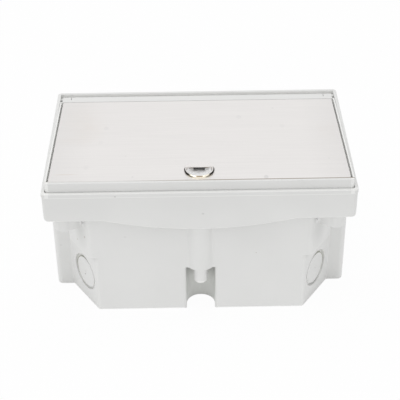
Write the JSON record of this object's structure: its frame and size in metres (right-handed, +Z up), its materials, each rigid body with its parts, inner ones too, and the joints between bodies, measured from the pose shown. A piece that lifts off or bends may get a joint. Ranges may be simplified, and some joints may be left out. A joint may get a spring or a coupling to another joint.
{
  "type": "floor box",
  "caption": "Rectangular in-floor outlet box with a hinged steel-topped lid, a finger pull, conduit knock-outs in its corner facets, and power and data outlets inside.",
  "frame": {"origin": "centre of the base, on its underside", "axes": "+X along the long side, +Y towards the hinge, +Z up"},
  "size_m": [0.2, 0.13, 0.1073],
  "materials": {
    "pale_plastic": "satin pale grey moulding",
    "module_plastic": "smooth white moulding",
    "jack_plastic": "black moulding",
    "carrier_plastic": "grey moulding",
    "brushed_lid": "fine brushing along the length",
    "bright_chrome": "polished",
    "zinc_steel": "zinc plated",
    "spring_steel": "dark spring steel",
    "yellow_brass": "plain",
    "black_rubber": "matt"
  },
  "bodies": {
    "box": {"box_body": "pale_plastic", "trim_frame": "pale_plastic", "corner_screws": "zinc_steel", "height_screws": "zinc_steel", "device_plate": "carrier_plastic", "device_plate_screws": "zinc_steel", "socket_left_face": "module_plastic", "socket_left_base": "carrier_plastic", "earth_contact_left": "zinc_steel", "line_contacts_left": "yellow_brass", "socket_right_face": "module_plastic", "socket_right_base": "carrier_plastic", "earth_contact_right": "zinc_steel", "line_contacts_right": "yellow_brass", "data_face": "module_plastic", "data_jack_left": "jack_plastic", "data_jack_right": "jack_plastic", "cable_clamp_left": "carrier_plastic", "cable_clamp_right": "carrier_plastic", "clamp_screws": "zinc_steel", "earth_terminal": "yellow_brass", "earth_terminal_screws": "zinc_steel"},
    "lid": {"lid_tray": "pale_plastic", "lid_plate": "brushed_lid", "finger_pull": "bright_chrome", "pull_clip": "spring_steel", "lid_bumpers": "black_rubber"}
  },
  "joints": [
    {"name": "lid_hinge", "type": "hinge", "parent": "box", "child": "lid", "pos_m": [0, 0.0594, 0.097], "axis": [-1, 0, 0], "range_deg": [-3, 90]}
  ]
}
